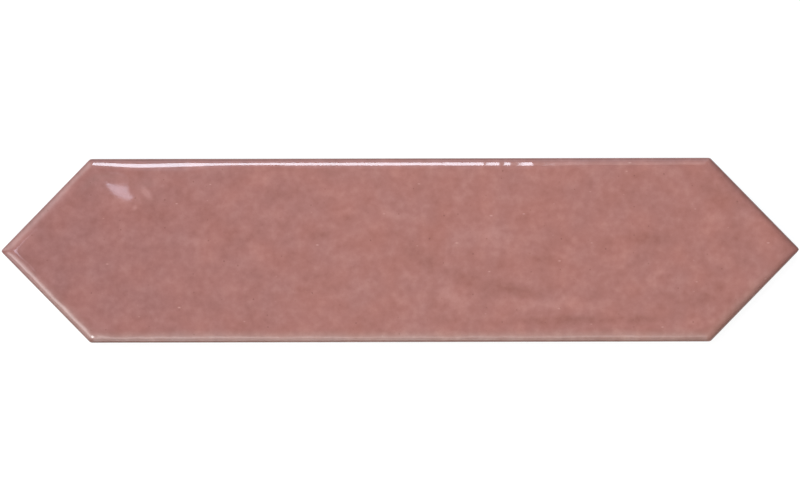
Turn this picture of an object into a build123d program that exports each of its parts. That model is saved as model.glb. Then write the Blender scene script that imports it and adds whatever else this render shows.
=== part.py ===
from build123d import *
import os
from math import radians, sin, tan

# Picket tile: a pressed and glazed ceramic wall tile, a long hexagon with a point at each end.
# It lies on its back, glazed face up. The origin is the middle of the back, +X runs from point
# to point, +Y across the tile and +Z out of the glazed face. Millimetres and degrees.

# Plan of the glazed face
length = 300.0  # from point to point, before the points are rounded
width = 69.0  # across the two long sides
point_angle = 91.4  # between the two slanted sides that meet at a point
point_rounding = 0.8  # plan radius at the two points
shoulder_rounding = 1.8  # plan radius where a long side meets a slanted side

# Section through an edge
thickness = 9.0  # from the back to the flat of the glazed face
edge_run = 4.5  # how far in from each side the face starts to fall away
edge_drop = 2.0  # how far it has fallen where it meets the side
back_bevel = 0.5  # bevel round the foot of the sides

# Keying grooves pressed into the back
back_rim = 6.0  # flat band left all round the back
groove_width = 4.0  # across the mouth of a groove
rib_width = 3.0  # flat left between two grooves
groove_depth = 0.8
groove_draft = 30.0  # slope of the groove walls, so that the punch lifts out

# A slanted side turns by half the point angle from the long axis.
slant_angle = point_angle / 2
point_length = width / 2 / tan(radians(slant_angle))
straight_length = length - 2 * point_length
slant_distance = length * sin(radians(slant_angle))  # between two parallel slanted sides


def hexagon():
    """Sharp plan outline, from the shoulder at +X +Y round to the point at +X."""
    x_shoulder, y_side, x_point = straight_length / 2, width / 2, length / 2
    return make_face(
        Polyline(
            (x_shoulder, y_side),
            (-x_shoulder, y_side),
            (-x_point, 0),
            (-x_shoulder, -y_side),
            (x_shoulder, -y_side),
            (x_point, 0),
            close=True,
        )
    )


def rounded_outline():
    """The plan outline with its points and shoulders rounded."""
    shoulders = hexagon().vertices().sort_by(Axis.X)[1:-1]
    plan = fillet(shoulders, shoulder_rounding)
    along_x = plan.vertices().sort_by(Axis.X)
    return fillet([along_x[0], along_x[-1]], point_rounding)


def cushion_bar(across, turn):
    """A bar, longer than the tile, with the tile's edge section on both sides, turned about Z.

    across is the distance between its two sides. Each of its edges is a quarter of an ellipse
    that leaves the flat face level and meets the side upright.
    """
    y_side, y_flat, z_side = across / 2, across / 2 - edge_run, thickness - edge_drop
    right = EllipticalCenterArc((y_flat, z_side), edge_run, edge_drop, start_angle=0)
    left = EllipticalCenterArc((-y_flat, z_side), edge_run, edge_drop, start_angle=90)
    section = make_face(
        [
            right,
            Line((y_flat, thickness), (-y_flat, thickness)),
            left,
            Polyline((-y_side, z_side), (-y_side, 0), (y_side, 0), (y_side, z_side)),
        ]
    )
    bar = extrude(Plane.YZ * section, amount=length, both=True)
    return Rot(Z=turn) * bar


def pressed_blank():
    """The body without its grooves: the rounded plan, cut to the edge section in each direction."""
    body = extrude(rounded_outline(), amount=thickness)
    foot = body.faces().sort_by(Axis.Z)[0].edges()
    body = chamfer(foot, back_bevel)
    body &= cushion_bar(width, 0)
    body &= cushion_bar(slant_distance, slant_angle)
    body &= cushion_bar(slant_distance, -slant_angle)
    return body


def groove_rows():
    """The Y places of the grooves, as many as fit between the rims."""
    pitch = groove_width + rib_width
    count = int((width - 2 * back_rim + rib_width) // pitch)
    return [(row - (count - 1) / 2) * pitch for row in range(count)]


def back_grooves():
    """Grooves along the tile, stopped short of the sides by the rim and narrowing as they go in."""
    field = offset(hexagon(), -back_rim, kind=Kind.INTERSECTION)
    grooves = []
    for y in groove_rows():
        mouth = Pos(0, y) * Rectangle(length, groove_width) & field
        grooves.append(extrude(mouth, amount=groove_depth, dir=(0, 0, 1), taper=groove_draft))
    return grooves


picket_tile = pressed_blank() - back_grooves()

os.makedirs("parts", exist_ok=True)
export_step(picket_tile, "parts/picket_tile.step")
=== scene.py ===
import math
from functools import partial

import bpy
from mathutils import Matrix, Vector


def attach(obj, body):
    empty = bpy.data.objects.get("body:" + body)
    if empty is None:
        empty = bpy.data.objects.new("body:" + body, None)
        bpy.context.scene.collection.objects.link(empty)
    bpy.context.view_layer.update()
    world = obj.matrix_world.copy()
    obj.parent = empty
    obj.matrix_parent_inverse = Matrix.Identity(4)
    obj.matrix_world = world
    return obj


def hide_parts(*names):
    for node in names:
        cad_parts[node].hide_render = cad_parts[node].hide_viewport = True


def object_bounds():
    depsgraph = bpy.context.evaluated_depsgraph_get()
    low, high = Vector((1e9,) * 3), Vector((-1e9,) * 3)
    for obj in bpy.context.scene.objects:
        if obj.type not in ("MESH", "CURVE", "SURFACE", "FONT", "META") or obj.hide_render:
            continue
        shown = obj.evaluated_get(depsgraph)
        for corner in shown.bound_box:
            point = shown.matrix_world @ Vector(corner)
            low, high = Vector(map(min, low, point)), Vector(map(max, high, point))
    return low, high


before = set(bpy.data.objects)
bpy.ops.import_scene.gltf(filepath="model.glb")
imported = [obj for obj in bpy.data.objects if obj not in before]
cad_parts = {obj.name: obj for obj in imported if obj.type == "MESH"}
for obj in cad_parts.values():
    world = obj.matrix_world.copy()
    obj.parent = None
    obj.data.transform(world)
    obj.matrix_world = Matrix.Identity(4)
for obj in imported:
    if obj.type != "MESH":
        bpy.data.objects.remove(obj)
cadLow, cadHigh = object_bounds()
scene = bpy.context.scene
mm = 0.001
print("frame loaded, tile is", [round(c / mm, 2) for c in cadHigh - cadLow], "mm")

# Kinds of node that come up most. A mix node's sockets share their names, so they go by number:
# 0 is the factor, 2 and 3 are values, 6 and 7 are colours, and output 2 is the mixed colour.
maths, vector = "ShaderNodeMath", "ShaderNodeVectorMath"
noise, mapRange, mix = "ShaderNodeTexNoise", "ShaderNodeMapRange", "ShaderNodeMix"
separate, combine = "ShaderNodeSeparateXYZ", "ShaderNodeCombineXYZ"
setPosition, storeAttribute = "GeometryNodeSetPosition", "GeometryNodeStoreNamedAttribute"
noiseMiddle, noiseSpan = 0.5, (0.3, 0.7)  # a noise texture's mean, and the values that it mostly keeps to


def hexColour(code):  # sRGB hex to the linear colour that shaders use
    parts = [int(code[i:i + 2], 16) / 255 for i in (1, 3, 5)]
    return [c / 12.92 if c <= 0.04045 else ((c + 0.055) / 1.055) ** 2.4 for c in parts] + [1]


def addNode(tree, kind, links={}, **settings):  # links go from a socket to a node, a socket or a value
    node = tree.nodes.new(kind)
    for name, value in settings.items():
        setattr(node, name, value)
    for key, source in links.items():
        if isinstance(source, bpy.types.Node):
            source = source.outputs[0]
        if isinstance(source, bpy.types.NodeSocket):
            tree.links.new(source, node.inputs[key])
        else:
            node.inputs[key].default_value = source
    return node


# Rose glaze: a coloured gloss glaze, fired until it flowed level. It gives the eye a deep wet shine,
# cloudy pooling in the colour, a darker line along the edge, pinholes and pale flecks. Painted into its
# colour are paler and darker patches on the face, partly pooling and partly painted shade and highlight,
# and a greyer tint along the front edges that is painted shade and painted reflection.
roseGlaze = {
    "deep": "#946055",
    "middle": "#A46F66",
    "pale": "#B58177",
    "tones": (0.2, 0.5, 0.8),  # noise values at which those three lie
    "cool": "#9A6862",  # the left end, darker and greyer
    "coolFrom": -10.0,  # mm along the tile
    "coolTo": -140.0,
    "ruddy": "#FFFCFA",  # two casts that drift into each other
    "mauve": "#FAFDFF",
    "cast": 11.0,  # mm across a patch of either
    "cloud": 8.0,  # mm across the large clouds
    "cloudStretch": 0.8,  # below 1, so they are longer along the tile
    "cloudNoise": {"Detail": 2, "Roughness": 0.65},
    "curd": 2.6,  # mm across the small clouds among them
    "curdNoise": {"Detail": 4, "Roughness": 0.6},
    "curdShare": 0.5,
    "poolsAndPaintedLight": [  # paler and darker patches on the face: partly where the glaze ran together or thinned out, partly painted shade and painted highlight; mm, degrees, and how much paler
        {"x": 7.5, "y": -2.6, "long": 9.0, "short": 3.2, "turn": -30.0, "shift": -0.18},
        {"x": 23.0, "y": -10.5, "long": 7.0, "short": 2.5, "turn": -28.0, "shift": -0.13},
        {"x": 38.6, "y": -14.3, "long": 13.0, "short": 2.6, "turn": -8.0, "shift": -0.20},
        {"x": 19.5, "y": -17.6, "long": 6.0, "short": 2.6, "turn": -25.0, "shift": 0.20},
        {"x": 54.0, "y": -20.3, "long": 28.0, "short": 1.8, "turn": 0.0, "shift": 0.10},
        {"x": 71.0, "y": -26.1, "long": 42.0, "short": 1.6, "turn": 1.0, "shift": -0.14},
        {"x": 92.0, "y": 3.8, "long": 9.0, "short": 2.5, "turn": 0.0, "shift": -0.18},
        {"x": 32.0, "y": 5.0, "long": 13.0, "short": 6.0, "turn": 0.0, "shift": 0.08},
        {"x": 117.0, "y": 19.5, "long": 6.0, "short": 4.0, "turn": -35.0, "shift": -0.11},
        {"x": 116.0, "y": -17.0, "long": 6.0, "short": 3.0, "turn": 50.0, "shift": -0.11},
        {"x": -90.7, "y": 15.0, "long": 5.0, "short": 4.0, "turn": 0.0, "shift": -0.10},
        {"x": -30.7, "y": 6.0, "long": 6.0, "short": 2.5, "turn": 10.0, "shift": -0.10},
        # these two, on the swells near the left point, are painted highlight
        {"x": -94.9, "y": 21.7, "long": 2.6, "short": 1.3, "turn": -55.0, "shift": 0.36},
        {"x": -99.4, "y": 16.2, "long": 1.1, "short": 0.8, "turn": 50.0, "shift": 0.26},
    ],
    "poolAndLightReach": 1.7,  # times its size, where a patch has faded out
    "edgeShade": 0.22,  # how much darker it is at the arris
    "edgeWidth": 2.4,  # mm
    "paintedFrontLight": "#A3776B",  # the middle colour along the front edges: painted shade and painted reflection, greyer and less red
    "paintedFrontLightWidth": 6.0,  # mm in from the edge
    "paintedFrontLightFrom": 20.0,  # mm in front of the tile's middle line, full from there on
    # Pinholes and flecks, drawn coarser than real ones so that they show: mm apart, largest radius in mm,
    # share of the places that have one, and a shift that keeps the two patterns apart
    "spots": [
        {"colour": "#8A5A51", "pitch": 5.5, "radius": 0.45, "share": 0.45, "stretch": 1.0, "shift": 0.0},
        {"colour": "#BB8B81", "pitch": 6.5, "radius": 0.42, "share": 0.4, "stretch": 0.5, "shift": 0.37},
    ],
    "spotSoftness": 0.35,  # mm over which a spot's rim fades
    "roughness": (0.045, 0.085),  # least and most
    "glossIor": 1.6,
    "ripple": 3.2,  # mm from crest to crest
    "rippleHeight": 0.003,  # mm
}


def makeRoseGlaze(look):
    material = bpy.data.materials.new("roseGlaze")
    material.use_nodes = True
    tree = material.node_tree
    add = partial(addNode, tree)
    shader = tree.nodes["Principled BSDF"]
    place = add("ShaderNodeTexCoord").outputs["Object"]
    drawn = add("ShaderNodeMapping", {"Vector": place, "Scale": (look["cloudStretch"], 1, 1)})
    clouds = add(noise, {"Vector": drawn, "Scale": 1 / (look["cloud"] * mm), **look["cloudNoise"]})
    curds = add(noise, {"Vector": place, "Scale": 1 / (look["curd"] * mm), **look["curdNoise"]})
    shade = add(mix, {0: look["curdShare"], 2: clouds, 3: curds})
    # Paler and darker patches: partly glaze pooling, partly painted shade and painted highlight
    for toneMark in look["poolsAndPaintedLight"]:
        local = add("ShaderNodeMapping", {
            "Vector": place, "Location": (toneMark["x"] * mm, toneMark["y"] * mm, 0),
            "Rotation": (0, 0, math.radians(toneMark["turn"])),
            "Scale": (toneMark["long"] * mm, toneMark["short"] * mm, 1)}, vector_type="TEXTURE")
        away = add(vector, {0: local}, operation="LENGTH").outputs["Value"]
        shift = add(mapRange, {
            "Value": away, "From Max": look["poolAndLightReach"], "To Min": toneMark["shift"], "To Max": 0,
        }, interpolation_type="SMOOTHSTEP")
        shade = add(maths, {0: shade, 1: shift}, operation="ADD")
    tone = add("ShaderNodeValToRGB", {"Fac": shade})
    ramp = tone.color_ramp.elements
    ramp[0].position, middleAt, ramp[1].position = look["tones"]
    deep, middle, pale = (hexColour(look[name]) for name in ("deep", "middle", "pale"))
    ramp[0].color, ramp[1].color = deep, pale
    ramp.new(middleAt).color = middle
    coolTint, paintedFrontLightTint = (
        [a / b for a, b in zip(hexColour(look[name]), middle)] for name in ("cool", "paintedFrontLight"))
    along = add(separate, {0: place})
    cooler = add(mapRange, {
        "Value": along.outputs["X"], "From Min": look["coolFrom"] * mm, "From Max": look["coolTo"] * mm})
    drift = add(noise, {"Vector": place, "Scale": 1 / (look["cast"] * mm), "Detail": 1})
    drift = add(mapRange, {"Value": drift, "From Min": noiseSpan[0], "From Max": noiseSpan[1]})
    cast = add(mix, {
        0: drift, 6: hexColour(look["ruddy"]), 7: hexColour(look["mauve"])}, data_type="RGBA")
    surface = add(mix, {0: 1.0, 6: tone, 7: cast.outputs[2]}, data_type="RGBA", blend_type="MULTIPLY")
    surface = add(mix, {
        0: cooler, 6: surface.outputs[2], 7: coolTint}, data_type="RGBA", blend_type="MULTIPLY")
    fromEdge = add("ShaderNodeAttribute", attribute_name="fromEdge").outputs["Fac"]
    # spots keep to the face, off the edge and the sides
    onFace = add(mapRange, {"Value": fromEdge, "From Max": look["edgeWidth"] * mm})
    for spot in look["spots"]:
        step = 1 / (spot["pitch"] * mm)
        laid = add("ShaderNodeMapping", {
            "Vector": place, "Location": (spot["shift"],) * 3,
            "Scale": (spot["stretch"] * step, step, step)})
        cells = add("ShaderNodeTexVoronoi", {"Vector": laid, "Scale": 1}, voronoi_dimensions="2D")
        chance = add("ShaderNodeSeparateColor", {0: cells.outputs["Color"]})
        radius = add(mapRange, {
            "Value": chance, "From Min": 1 - spot["share"], "To Max": spot["radius"] / spot["pitch"]})
        inside = add(maths, {0: radius, 1: cells.outputs["Distance"]}, operation="SUBTRACT")
        inside = add(maths, {
            0: inside, 1: spot["pitch"] / look["spotSoftness"]}, operation="MULTIPLY", use_clamp=True)
        inside = add(maths, {0: inside, 1: onFace}, operation="MULTIPLY")
        surface = add(mix, {
            0: inside, 6: surface.outputs[2], 7: hexColour(spot["colour"])}, data_type="RGBA")
    # Darker towards the arris
    edgeDarkening = add(mapRange, {
        "Value": fromEdge, "From Max": look["edgeWidth"] * mm, "To Min": 1 - look["edgeShade"],
    }, interpolation_type="SMOOTHSTEP")
    surface = add(mix, {
        0: 1.0, 6: surface.outputs[2], 7: edgeDarkening}, data_type="RGBA", blend_type="MULTIPLY")
    # Painted shade and painted reflection along the front edges: greyer and less red there
    toFront = add(mapRange, {"Value": along.outputs["Y"], "From Max": -look["paintedFrontLightFrom"] * mm})
    toRim = add(mapRange, {
        "Value": fromEdge, "From Min": look["paintedFrontLightWidth"] * mm, "From Max": 0,
    }, interpolation_type="SMOOTHSTEP")
    atFront = add(maths, {0: toFront, 1: toRim}, operation="MULTIPLY")
    surface = add(mix, {
        0: atFront, 6: surface.outputs[2], 7: paintedFrontLightTint}, data_type="RGBA", blend_type="MULTIPLY")
    tree.links.new(surface.outputs[2], shader.inputs["Base Color"])
    dull = add(mapRange, {
        "Value": curds, "From Min": noiseSpan[0], "From Max": noiseSpan[1],
        "To Min": look["roughness"][0], "To Max": look["roughness"][1]})
    tree.links.new(dull.outputs[0], shader.inputs["Roughness"])
    ripple = add(noise, {"Vector": place, "Scale": 1 / (look["ripple"] * mm), "Detail": 1})
    bump = add("ShaderNodeBump", {"Height": ripple, "Distance": look["rippleHeight"] * mm})
    tree.links.new(bump.outputs["Normal"], shader.inputs["Normal"])
    shader.inputs["IOR"].default_value = look["glossIor"]
    return material


# Bare fired clay: pressed from fine powder and left unglazed. It gives the eye a dry, chalky buff
# with a faint grain and a scatter of darker iron specks.
firedClay = {
    "buff": "#CDBBA2",
    "pale": "#DCCFBB",
    "tones": (0.35, 0.65),  # noise values at which those two lie
    "iron": "#8E735A",
    "speckPitch": 3.0,  # mm from speck to speck
    "speckRadius": 0.4,  # mm, the largest, drawn coarser than the real ones so that they show
    "speckShare": 0.6,  # share of the places that have one
    "grain": 0.9,  # mm, drawn coarser than the real powder so that it shows
    "cloud": 14.0,  # mm across a patch of either colour
    "detail": 3,
    "grainHeight": 0.05,  # mm
    "roughness": 0.9,
}


def makeFiredClay(look):
    material = bpy.data.materials.new("firedClay")
    material.use_nodes = True
    tree = material.node_tree
    add = partial(addNode, tree)
    shader = tree.nodes["Principled BSDF"]
    place = add("ShaderNodeTexCoord").outputs["Object"]
    cloud = add(noise, {"Vector": place, "Scale": 1 / (look["cloud"] * mm), "Detail": look["detail"]})
    grain = add(noise, {"Vector": place, "Scale": 1 / (look["grain"] * mm), "Detail": look["detail"]})
    tone = add("ShaderNodeValToRGB", {"Fac": cloud})
    ramp = tone.color_ramp.elements
    ramp[0].position, ramp[1].position = look["tones"]
    ramp[0].color, ramp[1].color = hexColour(look["buff"]), hexColour(look["pale"])
    cells = add("ShaderNodeTexVoronoi", {"Vector": place, "Scale": 1 / (look["speckPitch"] * mm)})
    chance = add("ShaderNodeSeparateColor", {0: cells.outputs["Color"]})
    radius = add(mapRange, {
        "Value": chance, "From Min": 1 - look["speckShare"],
        "To Max": look["speckRadius"] / look["speckPitch"]})
    speck = add(maths, {0: cells.outputs["Distance"], 1: radius}, operation="LESS_THAN")
    surface = add(mix, {0: speck, 6: tone, 7: hexColour(look["iron"])}, data_type="RGBA")
    tree.links.new(surface.outputs[2], shader.inputs["Base Color"])
    bump = add("ShaderNodeBump", {"Height": grain, "Distance": look["grainHeight"] * mm})
    tree.links.new(bump.outputs["Normal"], shader.inputs["Normal"])
    shader.inputs["Roughness"].default_value = look["roughness"]
    return material


# The tile: one pressed body, so one piece. Sizes are millimetres, unless a note says otherwise.
tileForm = {
    "pointAngle": 91.4,  # degrees
    "pointRounding": 0.8,
    "edgeRun": 4.8,
    "runUnevenness": 0.3,  # share of the run that it wanders by
    "runLength": 30.0,  # from one bend to the next
    "frontUnevenness": 0.5,  # share of the run for the closer wandering along the front edges
    "frontLength": 7.0,
    "edgeDrop": 2.0,
    "shoulderSoftness": 0.57,  # how far a corner's rounding reaches at the outline
    "pointSoftness": 0.91,
    "softnessGrowth": 0.2,  # and how much more of it there is for each mm inwards
    "cornerDraw": 0.25,  # share of that reach by which a corner is drawn in
    "cornerFade": 3.0,  # rim depths in from the side, where that has faded out
    "rimDepth": 8.0,  # band with close rows of vertices
    "rimCrowding": 1.7,  # power that draws those rows towards the outline
    "columns": 361,  # numbers of vertices along and across the face, and of steps in the rim band
    "rows": 125,
    "rimColumns": 24,
    "rimRows": 24,
    "waveLength": 40.0,  # slow waves of the face: from one to the next along and across it, and how deep
    "waveAcross": 17.0,
    "waveHeight": 0.3,
    "faceAllowance": 0.3,  # how far the plain face lies under the top of the box
    "seed": 4.0,
    "glazeLap": 3.4,  # how far the glaze runs down the sides
    "lapUnevenness": 2.6,  # and how that wanders
    "lapLength": 16.0,
    "lapDetail": 3,
    "glazeBuild": 0.14,  # thickness of the glaze on the sides
    # its rolled lower edge: height, and the share of the thickness by which it lies in
    "lip": [(1.2, 0.3), (0.45, 0.1), (0.16, 0.22), (0.06, 0.5), (0.0, 1.0)],
    "backBevel": 0.5,
    "backRim": 6.0,
    "grooveCount": 8,
    "groovePitch": 7.0,
    "grooveWidth": 4.0,
    "grooveDepth": 0.8,
    "grooveDraft": 30.0,  # degrees
    "mergeDistance": 0.002,
    "sharpAngle": 40.0,  # degrees, edges past this are shaded as edges
    # Low swells in the face: middle, size along and across, turn in degrees, height, slope at the middle
    "swells": [
        {"x": -107.1, "y": 26.5, "long": 15.0, "short": 10.6, "turn": 0.0,
         "height": -0.37, "lean": (0.064, 0.067)},
        {"x": -94.6, "y": 21.8, "long": 4.5, "short": 2.4, "turn": 13.3,
         "height": -0.12, "lean": (0.003, -0.071)},
    ],
    # Places on the rear edge where the face falls away over a longer or a shorter run: middle, half
    # length, and by what share of the run
    "rearRuns": [
        {"x": -118.0, "long": 12.0, "share": 0.24},
        {"x": -81.0, "long": 9.0, "share": 0.38},
        {"x": -57.0, "long": 17.0, "share": -0.32},
        {"x": -32.0, "long": 14.0, "share": -0.06},
        {"x": 44.0, "long": 24.0, "share": 0.22},
        {"x": 14.6, "long": 1.2, "share": -0.065},
        {"x": 31.0, "long": 0.9, "share": -0.06},
        {"x": 37.1, "long": 1.0, "share": -0.06},
        {"x": 41.3, "long": 1.2, "share": -0.10},
        {"x": 49.8, "long": 2.2, "share": -0.16},
    ],
}


def buildTileTree(form, glaze, clay):
    tree = bpy.data.node_groups.new("picketTileForm", "GeometryNodeTree")
    tree.interface.new_socket(name="Geometry", in_out="OUTPUT", socket_type="NodeSocketGeometry")
    add = partial(addNode, tree)
    slant = math.radians(form["pointAngle"] / 2)
    roundedOff = form["pointRounding"] * mm * (1 / math.sin(slant) - 1)  # taken off each point
    numbers = {
        "halfLength": cadHigh.x + roundedOff,
        "halfWidth": cadHigh.y,
        "thickness": cadHigh.z,
        "slantSine": math.sin(slant),
        "slantCosine": math.cos(slant),
        "rimShareX": 2 * form["rimColumns"] / (form["columns"] - 1),
        "rimShareY": 2 * form["rimRows"] / (form["rows"] - 1),
        "grooveNarrowing": form["grooveDepth"] * mm * math.tan(math.radians(form["grooveDraft"])),
        "sharpAngle": math.radians(form["sharpAngle"]),
    }
    for name in (
            "edgeRun", "runLength", "frontLength", "edgeDrop", "shoulderSoftness", "pointSoftness",
            "rimDepth", "waveLength", "waveAcross", "waveHeight", "faceAllowance", "glazeLap",
            "lapUnevenness", "lapLength", "glazeBuild", "backBevel", "backRim", "groovePitch",
            "grooveWidth", "grooveDepth", "mergeDistance"):
        numbers[name] = form[name] * mm
    for name in ("runUnevenness", "frontUnevenness", "softnessGrowth", "rimCrowding", "seed"):
        numbers[name] = form[name]
    inputs = [(name, value, "NodeSocketFloat") for name, value in numbers.items()]
    inputs += [(name, form[name], "NodeSocketInt") for name in ("columns", "rows", "grooveCount")]
    inputs += [("glaze", glaze, "NodeSocketMaterial"), ("clay", clay, "NodeSocketMaterial")]
    values = {}
    for name, value, kind in inputs:
        socket = tree.interface.new_socket(name=name, in_out="INPUT", socket_type=kind)
        values[socket.identifier] = value
    size = add("NodeGroupInput").outputs

    # Flat sheet of rows and columns, from -1 to 1 both ways. One quarter of the tile is worked out,
    # and the signs put each vertex back in its own quarter.
    sheet = add("GeometryNodeMeshGrid", {
        "Size X": 2, "Size Y": 2, "Vertices X": size["columns"], "Vertices Y": size["rows"]})
    spot = add("GeometryNodeInputPosition")
    quarter = add(vector, {0: spot}, operation="SIGN")
    fromEnd = add(vector, {0: spot}, operation="ABSOLUTE")
    fromEnd = add(vector, {0: (1, 1, 1), 1: fromEnd}, operation="SUBTRACT")
    fromEnd = add(separate, {0: fromEnd})

    # What is left of the rim band between a place and the field inside it, and how far out the place lies
    # in that field, from 0 at the middle to 1 at the band
    def station(along, share):
        rim = add(maths, {0: along, 1: share}, operation="DIVIDE", use_clamp=True)
        rim = add(maths, {0: rim, 1: size["rimCrowding"]}, operation="POWER")
        rim = add(maths, {0: rim, 1: size["rimDepth"]}, operation="MULTIPLY")
        left = add(maths, {0: size["rimDepth"], 1: rim}, operation="SUBTRACT")
        past = add(mapRange, {"Value": along, "From Min": share, "From Max": 1, "To Min": 1, "To Max": 0})
        return left, past

    leftX, pastX = station(fromEnd.outputs["X"], size["rimShareX"])
    leftY, pastY = station(fromEnd.outputs["Y"], size["rimShareY"])
    cotangent = add(maths, {0: size["slantCosine"], 1: size["slantSine"]}, operation="DIVIDE")
    fieldY = add(maths, {0: size["halfWidth"], 1: size["rimDepth"]}, operation="SUBTRACT")
    y = add(maths, {0: fieldY, 1: pastY, 2: leftY}, operation="MULTIPLY_ADD")
    sideX = add(maths, {0: y, 1: cotangent}, operation="MULTIPLY")
    sideX = add(maths, {0: size["halfLength"], 1: sideX}, operation="SUBTRACT")
    rimX = add(maths, {0: size["rimDepth"], 1: size["slantSine"]}, operation="DIVIDE")
    fieldX = add(maths, {0: sideX, 1: rimX}, operation="SUBTRACT")
    slantLeft = add(maths, {0: leftX, 1: size["slantSine"]}, operation="DIVIDE")
    x = add(maths, {0: fieldX, 1: pastX, 2: slantLeft}, operation="MULTIPLY_ADD")

    # Distances to the long side and the slanted side
    toLong = add(maths, {0: size["halfWidth"], 1: y}, operation="SUBTRACT")
    toSlant = add(maths, {0: sideX, 1: x}, operation="SUBTRACT")
    toSlant = add(maths, {0: toSlant, 1: size["slantSine"]}, operation="MULTIPLY")
    toEdge = add(maths, {0: toLong, 1: toSlant}, operation="MINIMUM")
    toEdge = add(maths, {0: toEdge, 1: 0}, operation="MAXIMUM")

    # Corners are drawn in, so that every contour turns them in a soft curve.
    deep = add(maths, {0: toEdge, 1: size["rimDepth"]}, operation="MINIMUM")
    soft = add(maths, {
        0: deep, 1: size["softnessGrowth"], 2: size["shoulderSoftness"]}, operation="MULTIPLY_ADD")
    softPoint = add(maths, {
        0: deep, 1: size["softnessGrowth"], 2: size["pointSoftness"]}, operation="MULTIPLY_ADD")
    lead = add(maths, {0: toSlant, 1: toLong}, operation="SUBTRACT")
    lead = add(maths, {0: lead, 1: soft}, operation="DIVIDE")
    longShare = add(maths, {0: lead, 1: 0.5, 2: 0.5}, operation="MULTIPLY_ADD", use_clamp=True)
    slantShare = add(maths, {0: 1, 1: longShare}, operation="SUBTRACT")
    near = add(maths, {0: lead}, operation="ABSOLUTE")
    near = add(maths, {0: 1, 1: near}, operation="SUBTRACT", use_clamp=True)
    draw = add(maths, {0: near, 1: near}, operation="MULTIPLY")
    draw = add(maths, {0: draw, 1: soft}, operation="MULTIPLY")
    turn = add(maths, {0: y, 1: size["slantCosine"]}, operation="MULTIPLY")
    turn = add(maths, {0: turn, 1: softPoint}, operation="DIVIDE")
    turn = add(maths, {0: turn, 1: 2}, operation="MULTIPLY", use_clamp=True)
    nearPoint = add(maths, {0: 1, 1: turn}, operation="SUBTRACT")
    drawPoint = add(maths, {0: nearPoint, 1: nearPoint}, operation="MULTIPLY")
    drawPoint = add(maths, {0: drawPoint, 1: softPoint}, operation="MULTIPLY")
    draw = add(maths, {0: drawPoint, 1: slantShare, 2: draw}, operation="MULTIPLY_ADD")
    deepest = add(maths, {0: size["rimDepth"], 1: form["cornerFade"]}, operation="MULTIPLY")
    fade = add(mapRange, {
        "Value": toEdge, "From Min": size["rimDepth"], "From Max": deepest,
        "To Min": -form["cornerDraw"], "To Max": 0,
    }, interpolation_type="SMOOTHSTEP")
    draw = add(maths, {0: draw, 1: fade}, operation="MULTIPLY")
    outX = add(maths, {0: slantShare, 1: size["slantSine"]}, operation="MULTIPLY")
    outY = add(maths, {0: slantShare, 1: size["slantCosine"]}, operation="MULTIPLY")
    outY = add(maths, {0: outY, 1: turn, 2: longShare}, operation="MULTIPLY_ADD")
    outward = add(combine, {"X": outX, "Y": outY})
    steep = add(vector, {0: outward, 1: outward}, operation="DOT_PRODUCT").outputs["Value"]
    pull = add(maths, {0: draw, 1: steep}, operation="DIVIDE")
    plan = add(vector, {0: outward, "Scale": pull}, operation="SCALE")
    plan = add(vector, {0: plan, 1: add(combine, {"X": x, "Y": y})}, operation="ADD")
    plan = add(vector, {0: plan, 1: quarter}, operation="MULTIPLY")
    outward = add(vector, {0: outward, 1: quarter}, operation="MULTIPLY")
    outward = add(vector, {0: outward}, operation="NORMALIZE")

    # Height: a quarter ellipse at the edge, whose run wanders, and slow waves and swells on the face
    runScale = add(maths, {0: 1, 1: size["runLength"]}, operation="DIVIDE")
    wander = add(noise, {
        "Vector": plan, "W": size["seed"], "Scale": runScale, "Detail": 1}, noise_dimensions="4D")
    wander = add(maths, {0: wander, 1: noiseMiddle}, operation="SUBTRACT")
    wander = add(maths, {0: wander, 1: size["runUnevenness"], 2: 0.5}, operation="MULTIPLY_ADD")
    wander = add(maths, {0: wander, 1: 2}, operation="MULTIPLY")  # 1 where the run is as given
    planParts = add(separate, {0: plan})
    frontScale = add(maths, {0: 1, 1: size["frontLength"]}, operation="DIVIDE")
    closer = add(noise, {
        "Vector": plan, "W": size["seed"], "Scale": frontScale, "Detail": 1}, noise_dimensions="4D")
    closer = add(maths, {0: closer, 1: noiseMiddle}, operation="SUBTRACT")
    closer = add(maths, {0: closer, 1: size["frontUnevenness"]}, operation="MULTIPLY")
    frontFrom = add(maths, {0: size["rimDepth"], 1: -1}, operation="MULTIPLY")
    onFront = add(mapRange, {"Value": planParts.outputs["Y"], "From Max": frontFrom})
    wander = add(maths, {0: closer, 1: onFront, 2: wander}, operation="MULTIPLY_ADD")
    onRear = add(maths, {0: planParts.outputs["Y"], 1: 0}, operation="GREATER_THAN")
    for change in form["rearRuns"]:
        middle, end = change["x"] * mm, (change["x"] + change["long"]) * mm
        reach = add(mapRange, {
            "Value": planParts.outputs["X"], "From Min": middle, "From Max": end}, clamp=False)
        reach = add(maths, {0: reach, 1: reach}, operation="MULTIPLY")
        reach = add(maths, {0: reach, 1: -1}, operation="MULTIPLY")
        reach = add(maths, {0: reach}, operation="EXPONENT")
        reach = add(maths, {0: reach, 1: onRear}, operation="MULTIPLY")
        wander = add(maths, {0: reach, 1: change["share"], 2: wander}, operation="MULTIPLY_ADD")
    run = add(maths, {0: wander, 1: size["edgeRun"]}, operation="MULTIPLY")
    fall = add(maths, {0: toEdge, 1: run}, operation="DIVIDE", use_clamp=True)
    fall = add(maths, {0: 1, 1: fall}, operation="SUBTRACT")
    fall = add(maths, {0: fall, 1: fall}, operation="MULTIPLY")
    fall = add(maths, {0: 1, 1: fall}, operation="SUBTRACT", use_clamp=True)
    fall = add(maths, {0: fall}, operation="SQRT")
    fall = add(maths, {0: 1, 1: fall}, operation="SUBTRACT")
    drop = add(maths, {0: fall, 1: size["edgeDrop"]}, operation="MULTIPLY")
    stretch = add(combine, {"X": size["waveLength"], "Y": size["waveAcross"], "Z": 1})
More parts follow.
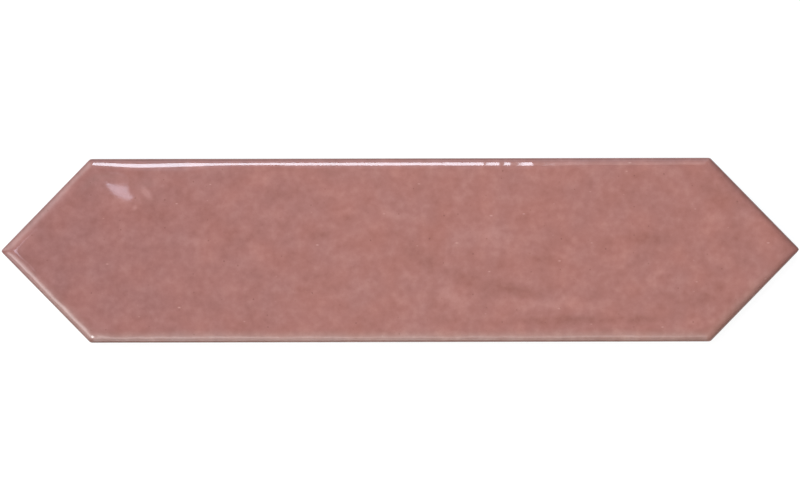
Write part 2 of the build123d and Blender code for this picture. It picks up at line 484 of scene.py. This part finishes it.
    waved = add(vector, {0: plan, 1: stretch}, operation="DIVIDE")
    wave = add(noise, {"Vector": waved, "W": size["seed"], "Scale": 1, "Detail": 1}, noise_dimensions="4D")
    wave = add(maths, {0: wave, 1: size["waveHeight"]}, operation="MULTIPLY")
    onFace = add(mapRange, {
        "Value": toEdge, "From Min": 0, "From Max": size["rimDepth"]}, interpolation_type="SMOOTHSTEP")
    for swell in form["swells"]:
        across = add(vector, {0: plan, 1: (swell["x"] * mm, swell["y"] * mm, 0)}, operation="SUBTRACT")
        reach = add("ShaderNodeVectorRotate", {
            "Vector": across, "Axis": (0, 0, 1), "Angle": -math.radians(swell["turn"])})
        reach = add(vector, {0: reach, 1: (swell["long"] * mm, swell["short"] * mm, 1)}, operation="DIVIDE")
        reach = add(vector, {0: reach, 1: reach}, operation="DOT_PRODUCT").outputs["Value"]
        reach = add(maths, {0: reach, 1: -1}, operation="MULTIPLY")
        reach = add(maths, {0: reach}, operation="EXPONENT")
        rise = add(vector, {0: across, 1: (*swell["lean"], 0)}, operation="DOT_PRODUCT").outputs["Value"]
        rise = add(maths, {0: rise, 1: swell["height"] * mm}, operation="ADD")
        rise = add(maths, {0: rise, 1: wave}, operation="ADD")  # it takes the place of the waves
        rise = add(maths, {0: rise, 1: reach}, operation="MULTIPLY")
        wave = add(maths, {0: wave, 1: rise}, operation="SUBTRACT")
    low = add(maths, {0: wave, 1: onFace, 2: drop}, operation="MULTIPLY_ADD")
    low = add(maths, {0: low, 1: size["faceAllowance"]}, operation="ADD")
    low = add(maths, {0: low, 1: 0}, operation="MAXIMUM")
    z = add(maths, {0: size["thickness"], 1: low}, operation="SUBTRACT")
    place = add(combine, {"X": planParts.outputs["X"], "Y": planParts.outputs["Y"], "Z": z})
    shell = add(storeAttribute, {"Geometry": sheet, "Name": "fromEdge", "Value": toEdge})
    shell = add(storeAttribute, {
        "Geometry": shell, "Name": "outward", "Value": outward}, data_type="FLOAT_VECTOR")
    shell = add(storeAttribute, {
        "Geometry": shell, "Name": "bareClay", "Value": False}, data_type="BOOLEAN", domain="FACE")
    shell = add(setPosition, {"Geometry": shell, "Position": place})

    # Sides: the rim is let down ring by ring, over the glaze's uneven lower edge to the bevel at the back.
    openEdge = add("FunctionNodeCompare", {
        2: add("GeometryNodeInputMeshEdgeNeighbors"), 3: 1}, data_type="INT", operation="EQUAL")
    sideways = add("GeometryNodeInputNamedAttribute", {"Name": "outward"}, data_type="FLOAT_VECTOR")
    lapScale = add(maths, {0: 1, 1: size["lapLength"]}, operation="DIVIDE")
    lapNoise = add(noise, {
        "Vector": spot, "W": size["seed"], "Scale": lapScale, "Detail": form["lapDetail"],
    }, noise_dimensions="4D")
    lapNoise = add(maths, {0: lapNoise, 1: noiseMiddle}, operation="SUBTRACT")
    lap = add(maths, {0: lapNoise, 1: size["lapUnevenness"], 2: size["glazeLap"]}, operation="MULTIPLY_ADD")
    sideTop = add(maths, {0: size["thickness"], 1: size["edgeDrop"]}, operation="SUBTRACT")
    sideTop = add(maths, {0: sideTop, 1: size["faceAllowance"]}, operation="SUBTRACT")
    lapEnd = add(maths, {0: sideTop, 1: lap}, operation="SUBTRACT")
    rings = []  # height of each ring, how far in it lies and whether the band above it is bare
    for above, share in form["lip"]:
        height = add(maths, {0: lapEnd, 1: above * mm}, operation="ADD")
        inset = add(maths, {0: size["glazeBuild"], 1: share}, operation="MULTIPLY")
        rings.append((height, inset, False))
    footInset = add(maths, {0: size["glazeBuild"], 1: size["backBevel"]}, operation="ADD")
    rings += [(size["backBevel"], size["glazeBuild"], True), (0.0, footInset, True)]
    already = 0.0
    for height, inset, bare in rings:
        band = add("GeometryNodeExtrudeMesh", {
            "Mesh": shell, "Selection": openEdge, "Offset Scale": 0.0}, mode="EDGES")
        step = add(maths, {0: already, 1: inset}, operation="SUBTRACT")
        moved = add(vector, {0: sideways, "Scale": step}, operation="SCALE")
        moved = add(separate, {0: add(vector, {0: moved, 1: spot}, operation="ADD")})
        moved = add(combine, {"X": moved.outputs["X"], "Y": moved.outputs["Y"], "Z": height})
        shell = add(setPosition, {"Geometry": band, "Selection": band.outputs["Top"], "Position": moved})
        shell = add(storeAttribute, {
            "Geometry": shell, "Selection": band.outputs["Side"], "Name": "bareClay", "Value": bare,
        }, data_type="BOOLEAN", domain="FACE")
        already = inset

    # Grooves in the back: one open box for each row, its ends cut along the slanted sides
    first = add(maths, {0: size["grooveCount"], 1: 1}, operation="SUBTRACT")
    first = add(maths, {0: first, 1: -0.5}, operation="MULTIPLY")
    first = add(maths, {0: first, 1: size["groovePitch"]}, operation="MULTIPLY")
    lines = add("GeometryNodeMeshLine", {
        "Count": size["grooveCount"], "Start Location": add(combine, {"Y": first}),
        "Offset": add(combine, {"Y": size["groovePitch"]})})
    middle = add(separate, {0: spot}).outputs["Y"]
    lines = add(storeAttribute, {"Geometry": lines, "Name": "rowMiddle", "Value": middle})
    box = add("GeometryNodeMeshCube", {"Size": (mm, mm, mm)})
    upward = add(separate, {0: add("GeometryNodeInputNormal")}).outputs["Z"]  # -1 on the bottom only
    isBottom = add("FunctionNodeCompare", {0: upward, 1: -0.5}, operation="LESS_THAN")
    box = add("GeometryNodeDeleteGeometry", {"Geometry": box, "Selection": isBottom}, domain="FACE")
    grooves = add("GeometryNodeInstanceOnPoints", {
        "Points": lines, "Instance": add("GeometryNodeFlipFaces", {"Mesh": box})})
    grooves = add("GeometryNodeRealizeInstances", {"Geometry": grooves})
    rowMiddle = add("GeometryNodeInputNamedAttribute", {"Name": "rowMiddle"})
    corner = add(separate, {0: spot}).outputs
    isFloor = add(maths, {0: corner["Z"], 1: 0}, operation="GREATER_THAN")
    narrowing = add(maths, {0: isFloor, 1: size["grooveNarrowing"]}, operation="MULTIPLY")
    half = add(maths, {0: size["grooveWidth"], 1: 0.5}, operation="MULTIPLY")
    half = add(maths, {0: half, 1: narrowing}, operation="SUBTRACT")
    whichSide = add(maths, {0: corner["Y"], 1: rowMiddle}, operation="SUBTRACT")
    whichSide = add(maths, {0: whichSide}, operation="SIGN")
    grooveY = add(maths, {0: whichSide, 1: half, 2: rowMiddle}, operation="MULTIPLY_ADD")
    inset = add(maths, {0: size["backRim"], 1: narrowing}, operation="ADD")
    inset = add(maths, {0: inset, 1: size["slantSine"]}, operation="DIVIDE")
    grooveX = add(maths, {0: grooveY}, operation="ABSOLUTE")
    grooveX = add(maths, {0: grooveX, 1: cotangent, 2: inset}, operation="MULTIPLY_ADD")
    grooveX = add(maths, {0: size["halfLength"], 1: grooveX}, operation="SUBTRACT")
    whichEnd = add(maths, {0: corner["X"]}, operation="SIGN")
    grooveX = add(maths, {0: grooveX, 1: whichEnd}, operation="MULTIPLY")
    grooveZ = add(maths, {0: isFloor, 1: size["grooveDepth"]}, operation="MULTIPLY")
    groovePlace = add(combine, {"X": grooveX, "Y": grooveY, "Z": grooveZ})
    grooves = add(setPosition, {"Geometry": grooves, "Position": groovePlace})

    # Flat of the back, filled between the foot of the sides and the mouths of the grooves
    footLine = add("GeometryNodeMeshToCurve", {"Mesh": shell, "Selection": openEdge})
    mouths = add("GeometryNodeMeshToCurve", {"Mesh": grooves, "Selection": openEdge})
    lines = add("GeometryNodeJoinGeometry")
    for part in (footLine, mouths):
        tree.links.new(part.outputs[0], lines.inputs[0])
    flat = add("GeometryNodeFlipFaces", {
        "Mesh": add("GeometryNodeFillCurve", {"Curve": lines}, mode="TRIANGLES")})
    back = add("GeometryNodeJoinGeometry")
    for part in (flat, grooves):
        tree.links.new(part.outputs[0], back.inputs[0])
    back = add(storeAttribute, {
        "Geometry": back, "Name": "bareClay", "Value": True}, data_type="BOOLEAN", domain="FACE")
    whole = add("GeometryNodeJoinGeometry")
    for part in (back, shell):
        tree.links.new(part.outputs[0], whole.inputs[0])
    whole = add("GeometryNodeMergeByDistance", {"Geometry": whole, "Distance": size["mergeDistance"]})
    isSharp = add("FunctionNodeCompare", {
        0: add("GeometryNodeInputMeshEdgeAngle"), 1: size["sharpAngle"]}, operation="GREATER_THAN")
    whole = add("GeometryNodeSetShadeSmooth", {"Geometry": whole, "Shade Smooth": True})
    whole = add("GeometryNodeSetShadeSmooth", {
        "Geometry": whole, "Selection": isSharp, "Shade Smooth": False}, domain="EDGE")
    whole = add("GeometryNodeRealizeInstances", {"Geometry": whole})
    isBare = add("GeometryNodeInputNamedAttribute", {"Name": "bareClay"}, data_type="BOOLEAN")
    whole = add("GeometryNodeSetMaterial", {"Geometry": whole, "Material": size["glaze"]})
    whole = add("GeometryNodeSetMaterial", {
        "Geometry": whole, "Selection": isBare, "Material": size["clay"]})
    add("NodeGroupOutput", {"Geometry": whole})
    return tree, values


def makeTile():
    glaze, clay = makeRoseGlaze(roseGlaze), makeFiredClay(firedClay)
    tree, values = buildTileTree(tileForm, glaze, clay)
    maker = bpy.data.objects.new("tileMaker", bpy.data.meshes.new("tileMaker"))
    scene.collection.objects.link(maker)
    modifier = maker.modifiers.new("picketTileForm", "NODES")
    modifier.node_group = tree
    for identifier, value in values.items():
        modifier[identifier] = value
    made = maker.evaluated_get(bpy.context.evaluated_depsgraph_get())
    mesh = bpy.data.meshes.new_from_object(made)
    mesh.name = "picketTile"
    mesh.materials.pop(index=0)  # the slot that the bare sheet left empty
    maker.modifiers.remove(modifier)
    bpy.data.objects.remove(maker)
    tile = bpy.data.objects.new("picketTile", mesh)
    scene.collection.objects.link(tile)
    mesh.calc_loop_triangles()
    print("tile made,", len(mesh.loop_triangles), "triangles")
    return tile


tile = makeTile()
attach(tile, "root")
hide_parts("picket_tile")


# Studio: a pale floor, one crisp soft box behind the tile and soft light from the front left.
# Metres and degrees.
studio = {
    "floorSize": 12.0,
    "floorColour": "#7C7C7C",
    "floorGlow": 0.86,  # white that the floor shows by itself, the rest of it takes the shadow
    "dim": 0.05,  # level of the walls between the glows
    # Soft patches of light on the walls: azimuth from +X, height over the floor, half width, level
    "glows": [
        {"azimuth": 217, "height": 50, "spread": 12, "level": 4.9, "colour": "#FFFFFF"},
        {"azimuth": 236, "height": 59, "spread": 5, "level": 18.0, "colour": "#FFFFFF"},
        {"azimuth": 264, "height": 49, "spread": 10, "level": 1.7, "colour": "#FFFFFF"},
        {"azimuth": 260, "height": 56, "spread": 4, "level": 1.8, "colour": "#FFFFFF"},
        {"azimuth": 278, "height": 56, "spread": 4, "level": 1.4, "colour": "#FFFFFF"},
        {"azimuth": 265, "height": 63, "spread": 19, "level": 1.4, "colour": "#FFFFFF"},
        {"azimuth": 267, "height": 28, "spread": 10, "level": 3.1, "colour": "#FFFFFF"},
        {"azimuth": 218, "height": 23, "spread": 7, "level": 3.0, "colour": "#FFFFFF"},
        {"azimuth": 157, "height": 22, "spread": 19, "level": 2.8, "colour": "#FFFFFF"},
        {"azimuth": 142, "height": 50, "spread": 17, "level": 2.0, "colour": "#FFFFFF"},
        {"azimuth": 90, "height": 32, "spread": 18, "level": 1.6, "colour": "#E6F0FF"},
        {"azimuth": 102, "height": 73, "spread": 7, "level": 0.9, "colour": "#E6F0FF"},
    ],
    # Flat panels of light that face down: middle, size, level
    "lamps": [
        {"name": "keyBox", "at": (-0.1725, 0.705, 1.10), "size": (0.555, 0.45),
         "level": 12.3, "colour": "#E6F0FF"},
        {"name": "keySkirt", "at": (0.22, 0.705, 1.10), "size": (0.23, 0.45),
         "level": 1.0, "colour": "#FFFFFF"},
        {"name": "smallCard", "at": (-0.42, 0.0, 1.10), "size": (0.145, 0.13),
         "level": 4.5, "colour": "#EAE8FF"},
    ],
}


def makeFloor(look):
    floorMesh = bpy.data.meshes.new("floor")
    half = look["floorSize"] / 2
    corners = [(-half, -half, 0), (half, -half, 0), (half, half, 0), (-half, half, 0)]
    floorMesh.from_pydata(corners, [], [(0, 1, 2, 3)])
    floor = bpy.data.objects.new("floor", floorMesh)
    scene.collection.objects.link(floor)
    paint = bpy.data.materials.new("floorPaint")
    paint.use_nodes = True
    tree = paint.node_tree
    add = partial(addNode, tree)
    tree.nodes.clear()
    matt = add("ShaderNodeBsdfDiffuse", {"Color": hexColour(look["floorColour"])})
    path = add("ShaderNodeLightPath").outputs
    seen = add(maths, {0: path["Is Camera Ray"], 1: path["Is Glossy Ray"]}, operation="MAXIMUM")
    seen = add(maths, {0: seen, 1: path["Is Transmission Ray"]}, operation="MAXIMUM")
    share = add(maths, {0: seen, 1: look["floorGlow"]}, operation="MULTIPLY")
    glow = add("ShaderNodeEmission", {"Strength": share})
    both = add("ShaderNodeAddShader", {0: matt, 1: glow})
    add("ShaderNodeOutputMaterial", {"Surface": both})
    floorMesh.materials.append(paint)


def makeLight(look):
    world = bpy.data.worlds.new("studio")
    scene.world = world
    world.use_nodes = True
    tree = world.node_tree
    add = partial(addNode, tree)
    toWall = add("ShaderNodeTexCoord").outputs["Generated"]
    total = (look["dim"],) * 3
    for glow in look["glows"]:
        azimuth, height = math.radians(glow["azimuth"]), math.radians(glow["height"])
        flat = math.cos(height)
        axis = (math.cos(azimuth) * flat, math.sin(azimuth) * flat, math.sin(height))
        width = 1 - math.cos(math.radians(glow["spread"]))
        near = add(vector, {0: toWall, 1: axis}, operation="DOT_PRODUCT").outputs["Value"]
        fade = add(maths, {0: near, 1: 1 / width, 2: -1 / width}, operation="MULTIPLY_ADD")
        fade = add(maths, {0: fade}, operation="EXPONENT")
        colour = [c * glow["level"] for c in hexColour(glow["colour"])[:3]]
        patch = add(vector, {0: colour, "Scale": fade}, operation="SCALE")
        total = add(vector, {0: total, 1: patch}, operation="ADD")
    tree.links.new(total.outputs[0], tree.nodes["Background"].inputs["Color"])
    for lamp in look["lamps"]:
        light = bpy.data.lights.new(lamp["name"], "AREA")
        light.shape = "RECTANGLE"
        light.size, light.size_y = lamp["size"]
        light.color = hexColour(lamp["colour"])[:3]
        light.energy = lamp["level"] * math.pi * light.size * light.size_y
        stand = bpy.data.objects.new(lamp["name"], light)
        stand.location = lamp["at"]
        scene.collection.objects.link(stand)
    print("studio lit with", len(look["lamps"]), "lamps and", len(look["glows"]), "glows")


makeFloor(studio)
makeLight(studio)


# Camera: straight above, long lens, the tile's ends just inside the frame
camera = {
    "lens": 110.0,  # mm
    "sensor": 36.0,  # mm wide
    "clip": (0.01, 100.0),  # m
    "frameWidth": 300.2,  # mm of tile across the image, at the height of the outline
    "outlineHeight": 7.0,  # mm over the floor
    "middle": (-0.09, 0.10),  # mm, the point of the tile under the lens
    "roll": -0.12,  # degrees
}


def makeCamera(view):
    lensData = bpy.data.cameras.new("camera")
    lensData.lens = view["lens"]
    lensData.sensor_width = view["sensor"]
    lensData.clip_start, lensData.clip_end = view["clip"]
    body = bpy.data.objects.new("camera", lensData)
    distance = view["frameWidth"] * view["lens"] / view["sensor"]
    body.location = [c * mm for c in (*view["middle"], view["outlineHeight"] + distance)]
    body.rotation_euler = (0, 0, math.radians(view["roll"]))
    scene.collection.objects.link(body)
    scene.camera = body
    print("camera", round(distance), "mm above the outline")


makeCamera(camera)
scene.view_settings.view_transform = "Standard"
